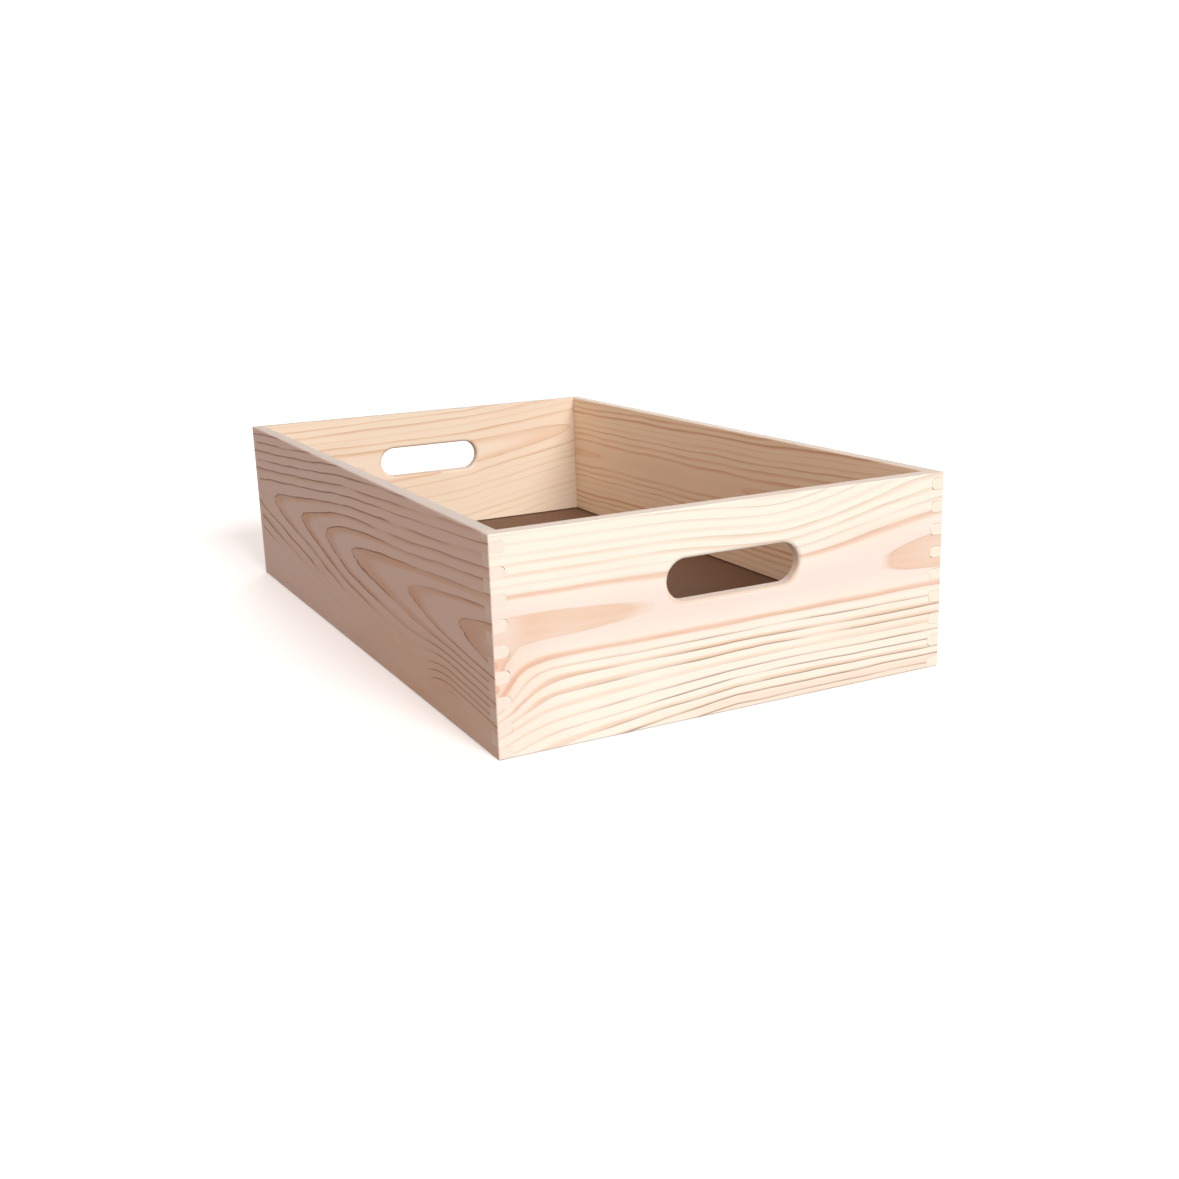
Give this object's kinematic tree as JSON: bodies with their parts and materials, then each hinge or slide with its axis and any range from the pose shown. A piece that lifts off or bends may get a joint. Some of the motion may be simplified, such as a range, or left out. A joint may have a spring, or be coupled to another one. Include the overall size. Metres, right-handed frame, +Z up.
{
  "type": "wooden apple crate",
  "caption": "Shallow open-topped pine crate with finger-jointed corners, rounded hand slots in both end panels and a dark hardboard base held in a groove.",
  "frame": {"origin": "middle of the crate's footprint, on the surface that it stands on", "axes": "+X across the crate along the end panels, +Y along its length from the front end panel to the rear one, +Z up out of the open top"},
  "size_m": [0.34, 0.56, 0.14],
  "materials": {
    "pine": "planed and sanded, unvarnished softwood",
    "hardboard": "smooth matt brown hardboard"
  },
  "bodies": {
    "root": {"end_panel_front": "pine", "end_panel_rear": "pine", "side_board_left": "pine", "side_board_right": "pine", "base_panel": "hardboard"}
  },
  "joints": []
}
